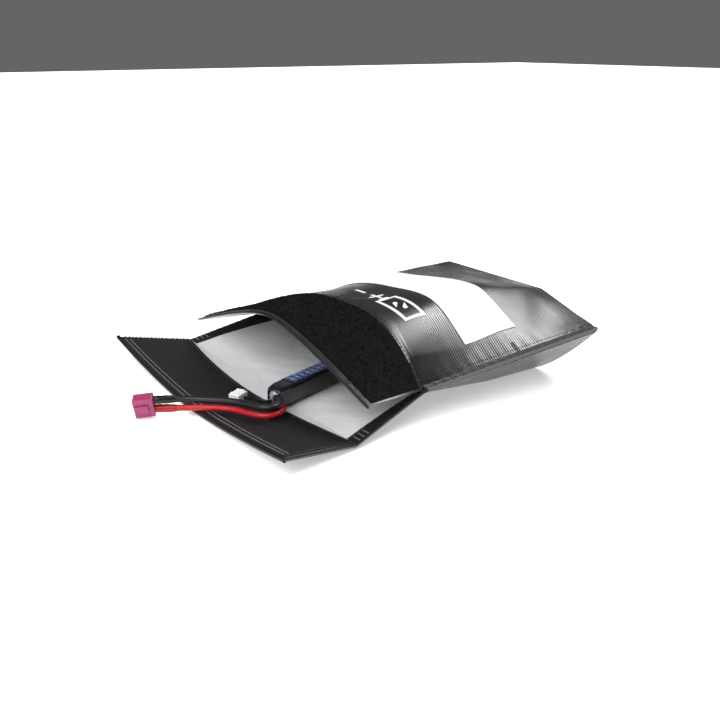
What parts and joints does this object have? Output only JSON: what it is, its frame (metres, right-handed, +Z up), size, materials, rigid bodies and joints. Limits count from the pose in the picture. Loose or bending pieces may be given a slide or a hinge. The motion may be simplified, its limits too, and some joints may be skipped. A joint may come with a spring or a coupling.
{
  "type": "lipo safe bag",
  "caption": "Fire-resistant pouch for a lithium-polymer battery, with a hook-and-loop flap folded open and a small battery pack lying in its mouth.",
  "frame": {"origin": "middle of the bag's footprint, on the surface it lies on, leads and plug left out of the measure", "axes": "+X from the open mouth into the bag, towards its closed end; +Y across the bag; +Z up"},
  "size_m": [0.2837, 0.2328, 0.0596],
  "materials": {
    "coated_cloth": "black coated woven cloth, satin",
    "glass_cloth": "silver-white woven glass cloth",
    "loop_tape": "black loop pile, matt",
    "hook_tape": "black hook tape",
    "binding_tape": "black woven binding",
    "thread": "black sewing thread",
    "white_label": "white label, satin",
    "shrink_wrap": "black shrink wrap, glossy",
    "pouch_foil": "laminated pouch foil",
    "fibre_board": "insulating board",
    "clear_seal": "clear seal, glossy",
    "blue_sticker": "dark blue sticker",
    "red_silicone": "red silicone",
    "black_silicone": "black silicone",
    "pink_nylon": "crimson nylon",
    "gold_contact": "gold-plated contact",
    "white_nylon": "white nylon"
  },
  "bodies": {
    "pouch": {"lower_panel": "coated_cloth", "liner_lower": "glass_cloth", "upper_panel": "coated_cloth", "liner_upper": "glass_cloth", "end_panel": "coated_cloth", "liner_end": "glass_cloth", "seam_near": "binding_tape", "seam_stitch_outer_near": "thread", "seam_stitch_inner_near": "thread", "binding_near": "binding_tape", "bar_tack_near": "thread", "seam_back": "binding_tape", "seam_stitch_outer_back": "thread", "seam_stitch_inner_back": "thread", "binding_back": "binding_tape", "bar_tack_back": "thread", "lip_hem": "binding_tape", "loop_band": "loop_tape", "loop_stitch_front": "thread", "loop_stitch_rear": "thread", "label_patch": "white_label"},
    "flap": {"flap_panel": "coated_cloth", "flap_liner": "glass_cloth", "hook_band": "hook_tape", "hook_stitch_outer": "thread", "hook_stitch_inner": "thread", "hook_stitch_fold": "thread", "flap_end_hem": "binding_tape", "flap_binding_near": "binding_tape", "flap_binding_back": "binding_tape"},
    "pack": {"pack_wrap": "shrink_wrap", "cell_lower": "pouch_foil", "cell_upper": "pouch_foil", "front_board": "fibre_board", "rear_board": "fibre_board", "end_seal": "clear_seal", "pack_sticker": "blue_sticker", "red_lead": "red_silicone", "red_sleeve": "red_silicone", "black_lead": "black_silicone", "black_sleeve": "black_silicone", "balance_lead": "black_silicone", "plug_housing": "pink_nylon", "blade_flat": "gold_contact", "blade_upright": "gold_contact", "balance_plug": "white_nylon"}
  },
  "joints": [
    {"name": "flap_fold", "type": "hinge", "parent": "pouch", "child": "flap", "pos_m": [-0.07235, 0, 0.0125], "axis": [0, 1, 0], "range_deg": [0, 178], "deforming": ["lower_panel", "liner_lower", "upper_panel", "liner_upper", "binding_near", "binding_back", "lip_hem", "loop_band", "loop_stitch_front", "loop_stitch_rear", "red_lead", "red_sleeve", "black_lead", "black_sleeve", "balance_lead", "plug_housing", "blade_flat", "blade_upright", "balance_plug"]},
    {"name": "pack_tuck", "type": "slide", "parent": "pouch", "child": "pack", "axis": [0.9483, 0.3173, 0], "range_m": [0, 0.088]}
  ],
  "couplings": [
    {"joint": "pack_tuck", "follows": "flap_fold", "m_per_rad": 0.0283}
  ]
}
